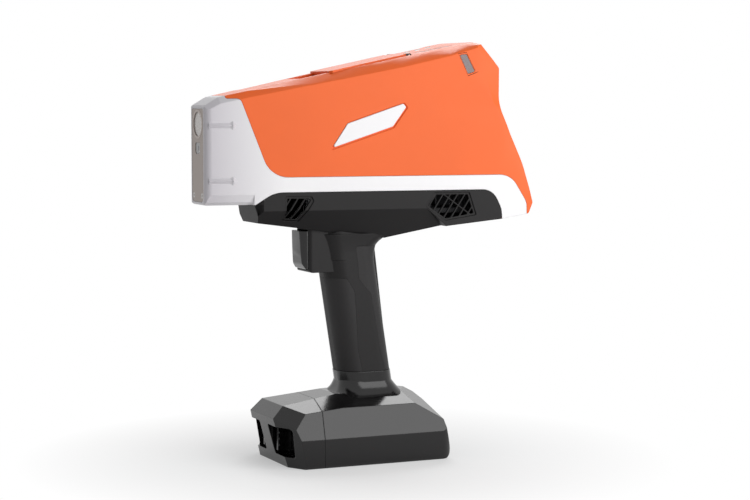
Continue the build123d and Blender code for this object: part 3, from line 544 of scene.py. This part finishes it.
class ANALYZER_OT_cover_skin(Operator):
    """Upper cover and rear pad with their surfaces run together"""
    bl_idname = "analyzer.cover_skin"
    bl_label = "Cover skin"

    def execute(self, context):
        cover = to_piece(joined_copy("upper_cover"), "upper_cover_shell", "housing",
                         NODES["upper_cover"].data.materials[0])
        even_shading(cover, 27.0)
        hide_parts("upper_cover")
        bm = joined_copy("rear_grip_pad")
        for v in bm.verts:
            rise = max(0.0, v.co.z - PAD_LIP) / (PAD_TOP - PAD_LIP)
            back = min(1.0, max(0.0, (v.co.x - 4.0) / 10.0))
            v.co.x += PAD_SWEEP * rise * rise * back
        pad = to_piece(bm, "rear_pad_lip", "housing", NODES["rear_grip_pad"].data.materials[0])
        even_shading(pad, 40.0)
        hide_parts("rear_grip_pad")
        return {"FINISHED"}


class ANALYZER_OT_trigger_skin(Operator):
    """Trigger with its roundings run together"""
    bl_idname = "analyzer.trigger_skin"
    bl_label = "Trigger skin"

    def execute(self, context):
        piece = to_piece(joined_copy("trigger"), "trigger_shell", "trigger", NODES["trigger"].data.materials[0])
        even_shading(piece, 42.0)
        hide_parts("trigger")
        return {"FINISHED"}


class ANALYZER_OT_nose_ribs(Operator):
    """Full ribs with pyramid ends on the sides of the nose"""
    bl_idname = "analyzer.nose_ribs"
    bl_label = "Nose ribs"

    def execute(self, context):
        bm = bmesh.new()
        for side in (-1, 1):
            for z in RIB_HEIGHTS:
                place = side_wall(side) @ Matrix.Translation((0, z, 0))
                for points in (RIB_RIDGE, RIB_END):
                    verts = [bm.verts.new(place @ Vector(p)) for p in points]
                    bmesh.ops.convex_hull(bm, input=verts)
        to_piece(bm, "nose_ribs", "housing", NODES["nose_body"].data.materials[0])
        return {"FINISHED"}


class ANALYZER_OT_trigger_spring(Operator):
    """Return spring of the trigger, a smoothly shaded copy with a mesh of its own"""
    bl_idname = "analyzer.trigger_spring"
    bl_label = "Trigger spring"

    def execute(self, context):
        coil = to_piece(joined_copy("trigger_spring"), "trigger_spring_coil", "housing",
                        NODES["trigger_spring"].data.materials[0])
        even_shading(coil, 60.0)
        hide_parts("trigger_spring")
        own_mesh(coil)
        return {"FINISHED"}


class ANALYZER_OT_side_light_lines(Operator):
    """Thin dark lines round the side lights, painted shadow of the recess round each lens"""
    bl_idname = "analyzer.side_light_lines"
    bl_label = "Side light lines"

    def execute(self, context):
        # painted shadow: the dark red-orange ring, and the short strip from its lower corner, stand in for the shade
        # in the recess round each lens
        dark = spark_plastic("recess_shadow_line_finish", (0.22, 0.022, 0.006), 0.5, 0.01)
        bm = bmesh.new()
        for side in (-1, 1):
            place = side_wall(side)
            wide = self.ring(1.35)
            near = self.ring(0.95)
            for i in range(4):
                j = (i + 1) % 4
                plate(bm, place, [wide[i], wide[j], near[j], near[i]], -0.03, 0.03)
            tail = wide[3]
            plate(bm, place, [tail, (tail[0] + 7.5, tail[1] + 2.9), (tail[0] + 7.5, tail[1] + 3.2),
                              (tail[0], tail[1] + 0.4)], -0.03, 0.03)
        to_piece(bm, "side_light_lines", "housing", dark)
        return {"FINISHED"}

    def ring(self, out):
        """Corners of the side light moved out from its middle."""
        middle = Vector([sum(p[k] for p in SIDE_LIGHT) / 4 for k in (0, 1)])
        corners = []
        for x, z in SIDE_LIGHT:
            arm = Vector((x, z)) - middle
            corners.append(tuple(middle + arm * (1 + out / arm.length)))
        return corners


class ANALYZER_OT_key_legends(Operator):
    """Raised generic legends on the keys"""
    bl_idname = "analyzer.key_legends"
    bl_label = "Key legends"

    def execute(self, context):
        ink = spark_plastic("legend_finish", (0.55, 0.55, 0.56), 0.45, 0.01)
        low, high = 0.66, 0.7 + fitting_sizes().legend_rise / MM
        arrow = [(-1.7, -1.0), (1.7, -1.0), (0, 1.5)]
        for name, turn in (("key_up", 0), ("key_down", 180), ("key_left", 90), ("key_right", -90)):
            bm = bmesh.new()
            plate(bm, key_spot(name, turn), arrow, low, high)
            to_piece(bm, name + "_legend", name, ink)
        bm = bmesh.new()
        place = key_spot("key_home")
        plate(bm, place, [(-2.2, 0.1), (2.2, 0.1), (0, 2.1)], low, high)
        plate(bm, place, [(-1.5, -1.9), (1.5, -1.9), (1.5, -0.1), (-1.5, -0.1)], low, high)
        to_piece(bm, "key_home_legend", "key_home", ink)
        bm = bmesh.new()
        plate(bm, key_spot("key_back"),
              [(-2.4, 0), (-0.4, 1.7), (-0.4, 0.6), (2.2, 0.6), (2.2, -0.6), (-0.4, -0.6), (-0.4, -1.7)],
              low, high)
        to_piece(bm, "key_back_legend", "key_back", ink)
        bm = bmesh.new()
        place = key_spot("key_power")
        for i in range(14):
            a, b = (math.radians(120 + 300 * k / 14) for k in (i, i + 1))
            ring = [(r * math.cos(t), r * math.sin(t)) for r, t in ((1.7, a), (2.3, a), (2.3, b), (1.7, b))]
            plate(bm, place, ring, low, high)
        plate(bm, place, [(-0.3, 0.6), (0.3, 0.6), (0.3, 2.8), (-0.3, 2.8)], low, high)
        bmesh.ops.remove_doubles(bm, verts=bm.verts, dist=0.001)
        to_piece(bm, "key_power_legend", "key_power", ink)
        bm = bmesh.new()
        drum(bm, key_spot("key_select") @ Matrix.Translation((0, 0, low)), 1.1, high - low, 24)
        to_piece(bm, "key_select_legend", "key_select", ink)
        return {"FINISHED"}


class ANALYZER_OT_screw_drives(Operator):
    """Dark six-lobe marks on the screw heads of the face plate, painted shade standing in for the drive recesses"""
    bl_idname = "analyzer.screw_drives"
    bl_label = "Screw drives"

    def execute(self, context):
        # painted shade: flat dark discs stand in for the shadowed drive recesses
        dark = spark_plastic("drive_recess_shade_finish", (0.02, 0.02, 0.02), 0.5, 0.01)
        bm = bmesh.new()
        for y, z in FACE_SCREWS:
            plate(bm, plate_spot(y, z), self.lobes(0.66), -0.04, 0.02)
        to_piece(bm, "face_screw_drives", "housing", dark)
        return {"FINISHED"}

    def lobes(self, radius):
        """Outline with six soft lobes."""
        corners = []
        for t in [math.tau * k / 36 for k in range(36)]:
            reach = radius * (1 + 0.16 * math.cos(6 * t))
            corners.append((reach * math.cos(t), reach * math.sin(t)))
        return corners


class ANALYZER_OT_window_details(Operator):
    """Camera lens and its two lamps in the front plate"""
    bl_idname = "analyzer.window_details"
    bl_label = "Window details"

    def execute(self, context):
        bm = bmesh.new()
        drum(bm, plate_spot(0, 217.8), 1.5, 0.15, 32, 0.05)
        to_piece(bm, "camera_lens", "housing", clear_lens("lens_glass_finish", (0.02, 0.02, 0.035), 1.0, 0.03))
        bm = bmesh.new()
        for y in (-3.2, 3.2):
            drum(bm, plate_spot(y, 215.6), 0.5, 0.12, 16, 0.04)
        to_piece(bm, "camera_lamps", "housing", clear_lens("lamp_finish", (0.8, 0.78, 0.7), 1.0, 0.1))
        return {"FINISHED"}


class ANALYZER_OT_port_contacts(Operator):
    """Tongues and gold contacts in the ports, and the door's seal"""
    bl_idname = "analyzer.port_contacts"
    bl_label = "Port contacts"

    def execute(self, context):
        gold = machined_metal("contact_gold_finish", (0.72, 0.52, 0.20), 0.22)
        tongue = spark_plastic("tongue_finish", (0.03, 0.05, 0.10), 0.4, 0.02)
        bm = bmesh.new()
        for y in (-8, 8):
            block(bm, TOP @ Matrix.Translation((-3.4, y, -8.7)), (8, 10.4, 1.4), 0.2)
        to_piece(bm, "port_tongues", "housing", tongue)
        bm = bmesh.new()
        for y in (-8, 8):
            for k in range(4):
                block(bm, TOP @ Matrix.Translation((-4.4, y - 3.6 + 2.4 * k, -9.45)), (5, 1.1, 0.12))
        to_piece(bm, "port_pins", "housing", gold)
        seal = grip_rubber()
        bm = bmesh.new()
        for y in (-17.6, 17.6):
            block(bm, TOP @ Matrix.Translation((9.4, y, -1.5)), (54, 0.9, 0.5), 0.15)
        for x in (-18.0, 36.2):
            block(bm, TOP @ Matrix.Translation((x, 0, -1.5)), (0.9, 33.8 if x < 0 else 27, 0.5), 0.15)
        to_piece(bm, "door_seal", "io_door", seal)
        return {"FINISHED"}


class ANALYZER_OT_board_parts(Operator):
    """Chips with their legs and tin cans on the main board"""
    bl_idname = "analyzer.board_parts"
    bl_label = "Board parts"

    def execute(self, context):
        chip = spark_plastic("chip_finish", (0.02, 0.02, 0.022), 0.5, 0.02)
        tin = machined_metal("tin_finish", (0.6, 0.6, 0.62), 0.3)
        bm, pins = bmesh.new(), bmesh.new()
        for x, z, w, h in BOARD_CHIPS:
            block(bm, (x, 15.8, z), (w, 1.6, h), 0.15, 1)
            for k in range(int(w / 1.2)):
                for side in (-1, 1):
                    block(pins, (x - w / 2 + 0.7 + 1.2 * k, 15.3, z + side * (h / 2 + 0.5)), (0.4, 0.3, 1.1))
        to_piece(bm, "board_chips", "housing", chip)
        to_piece(pins, "chip_legs", "housing", tin)
        bm = bmesh.new()
        for x, z in BOARD_CANS:
            drum(bm, frame_at((x, 15, z), (1, 0, 0), (0, 1, 0)), 2.4, 5.2, 24, 0.3)
        to_piece(bm, "board_cans", "housing", tin)
        return {"FINISHED"}


class ANALYZER_OT_cell_straps(Operator):
    """Nickel straps over the cell ends"""
    bl_idname = "analyzer.cell_straps"
    bl_label = "Cell straps"

    def execute(self, context):
        nickel = machined_metal("nickel_finish", (0.62, 0.60, 0.56), 0.3)
        bm = bmesh.new()
        for side, starts in ((-1, (-30.4, 12.8)), (1, (-8.8,))):
            for x in starts:
                block(bm, (x + 10.8, side * 35.1, 15), (28, 0.15, 7), 0.05, 1)
        to_piece(bm, "cell_straps", "battery", nickel)
        return {"FINISHED"}


class ANALYZER_OT_studio(Operator):
    """Floor, soft lights, white room and the camera"""
    bl_idname = "analyzer.studio"
    bl_label = "Studio"

    def execute(self, context):
        look = context.scene.analyzer_studio
        self.floor()
        self.room(look.sky)
        self.lamp("key_light", (0.42, -0.78, 0.42), (0, 0, 0.18), 0.95, 0.75, look.key_power)
        self.lamp("back_light", (0.34, 0.75, 0.9), (0, 0, 0.1), 0.7, 0.5, look.fill_power)
        view = bpy.data.cameras.new("studio_camera")
        view.sensor_width, view.lens = 36.0, 97.02
        view.clip_start, view.clip_end = 0.05, 20
        eye = bpy.data.objects.new("studio_camera", view)
        eye.location = EYE_PLACE
        eye.rotation_euler = [math.radians(angle) for angle in EYE_TURN]
        context.scene.collection.objects.link(eye)
        context.scene.camera = eye
        context.scene.view_settings.view_transform = "Standard"
        return {"FINISHED"}

    def floor(self):
        book = FinishBook("studio_floor_finish")
        x, y = book.coordinate("X"), book.coordinate("Y")
        far = ((((x * x + y * y) ** 0.5) - FLOOR_FADE[0]) / FLOOR_FADE[1]).held()
        path = book.node("ShaderNodeLightPath")
        seen = (Wire(book, path.outputs["Is Camera Ray"]) + Wire(book, path.outputs["Is Glossy Ray"])
                + Wire(book, path.outputs["Is Transmission Ray"])).held()
        matte = book.node("ShaderNodeBsdfDiffuse", {}, {"Color": (0.9, 0.9, 0.9, 1)})
        glow = book.node("ShaderNodeEmission", {}, {"Color": (1, 1, 1, 1), "Strength": 1.0})
        share = seen * (FLOOR_NEAR + far * (1 - FLOOR_NEAR))
        mix = book.node("ShaderNodeMixShader", {}, {0: share, 1: matte.outputs[0], 2: glow.outputs[0]})
        book.tree.links.new(mix.outputs[0], book.out.inputs["Surface"])
        bm = bmesh.new()
        bmesh.ops.create_grid(bm, x_segments=1, y_segments=1, size=6.0)
        shape = bpy.data.meshes.new("studio_floor")
        bm.to_mesh(shape)
        bm.free()
        ground = bpy.data.objects.new("studio_floor", shape)
        ground.location = (0, 0, -0.0002)
        shape.materials.append(book.material)
        bpy.context.scene.collection.objects.link(ground)

    def seen(self, tree, path):
        """1 for rays that look at the backdrop straight, off a gloss or through glass."""
        total = path.outputs["Is Camera Ray"]
        for ray in ("Is Glossy Ray", "Is Transmission Ray"):
            add = tree.nodes.new("ShaderNodeMath")
            add.operation, add.use_clamp = "ADD", True
            tree.links.new(total, add.inputs[0])
            tree.links.new(path.outputs[ray], add.inputs[1])
            total = add.outputs[0]
        return total

    def room(self, strength):
        world = bpy.data.worlds.new("studio_room")
        bpy.context.scene.world = world
        world.use_nodes = True
        tree = world.node_tree
        tree.nodes.clear()
        out = tree.nodes.new("ShaderNodeOutputWorld")
        path = tree.nodes.new("ShaderNodeLightPath")
        even, white = tree.nodes.new("ShaderNodeBackground"), tree.nodes.new("ShaderNodeBackground")
        even.inputs[0].default_value, even.inputs[1].default_value = (0.98, 0.99, 1, 1), strength
        white.inputs[0].default_value, white.inputs[1].default_value = (1, 1, 1, 1), 1.0
        mix = tree.nodes.new("ShaderNodeMixShader")
        seen = self.seen(tree, path)
        tree.links.new(seen, mix.inputs[0])
        tree.links.new(even.outputs[0], mix.inputs[1])
        tree.links.new(white.outputs[0], mix.inputs[2])
        tree.links.new(mix.outputs[0], out.inputs[0])

    def lamp(self, name, place, aim, width, height, power):
        light = bpy.data.lights.new(name, "AREA")
        light.shape, light.size, light.size_y, light.energy = "RECTANGLE", width, height, power
        lamp = bpy.data.objects.new(name, light)
        lamp.location = place
        lamp.rotation_euler = (Vector(aim) - Vector(place)).to_track_quat("-Z", "Y").to_euler()
        bpy.context.scene.collection.objects.link(lamp)


class ANALYZER_PT_panel(Panel):
    """Lists the analyzer's sizes, colours and steps"""
    bl_label = "Handheld Analyzer"
    bl_idname = "ANALYZER_PT_panel"
    bl_space_type = "VIEW_3D"
    bl_region_type = "UI"
    bl_category = "Analyzer"

    def draw(self, context):
        for group in (context.scene.analyzer_colours, context.scene.analyzer_fittings, context.scene.analyzer_studio):
            for key in group.__annotations__:
                self.layout.prop(group, key)
        for step in STEPS:
            self.layout.operator(step.bl_idname)


STEPS = (
    ANALYZER_OT_finishes, ANALYZER_OT_belly_bow, ANALYZER_OT_cover_skin, ANALYZER_OT_trigger_skin,
    ANALYZER_OT_nose_ribs, ANALYZER_OT_trigger_spring, ANALYZER_OT_side_light_lines, ANALYZER_OT_key_legends,
    ANALYZER_OT_screw_drives, ANALYZER_OT_window_details, ANALYZER_OT_port_contacts, ANALYZER_OT_board_parts,
    ANALYZER_OT_cell_straps, ANALYZER_OT_studio,
)
GROUPS = (CoverColours, FittingSizes, StudioLook)


def register():
    for kind in (*GROUPS, *STEPS, ANALYZER_PT_panel):
        bpy.utils.register_class(kind)
    bpy.types.Scene.analyzer_colours = PointerProperty(type=CoverColours)
    bpy.types.Scene.analyzer_fittings = PointerProperty(type=FittingSizes)
    bpy.types.Scene.analyzer_studio = PointerProperty(type=StudioLook)


def unregister():
    del bpy.types.Scene.analyzer_colours, bpy.types.Scene.analyzer_fittings, bpy.types.Scene.analyzer_studio
    for kind in (ANALYZER_PT_panel, *reversed(STEPS), *reversed(GROUPS)):
        bpy.utils.unregister_class(kind)


def main():
    register()
    for step in STEPS:
        family, name = step.bl_idname.split(".")
        getattr(getattr(bpy.ops, family), name)()


if __name__ == "__main__":
    main()
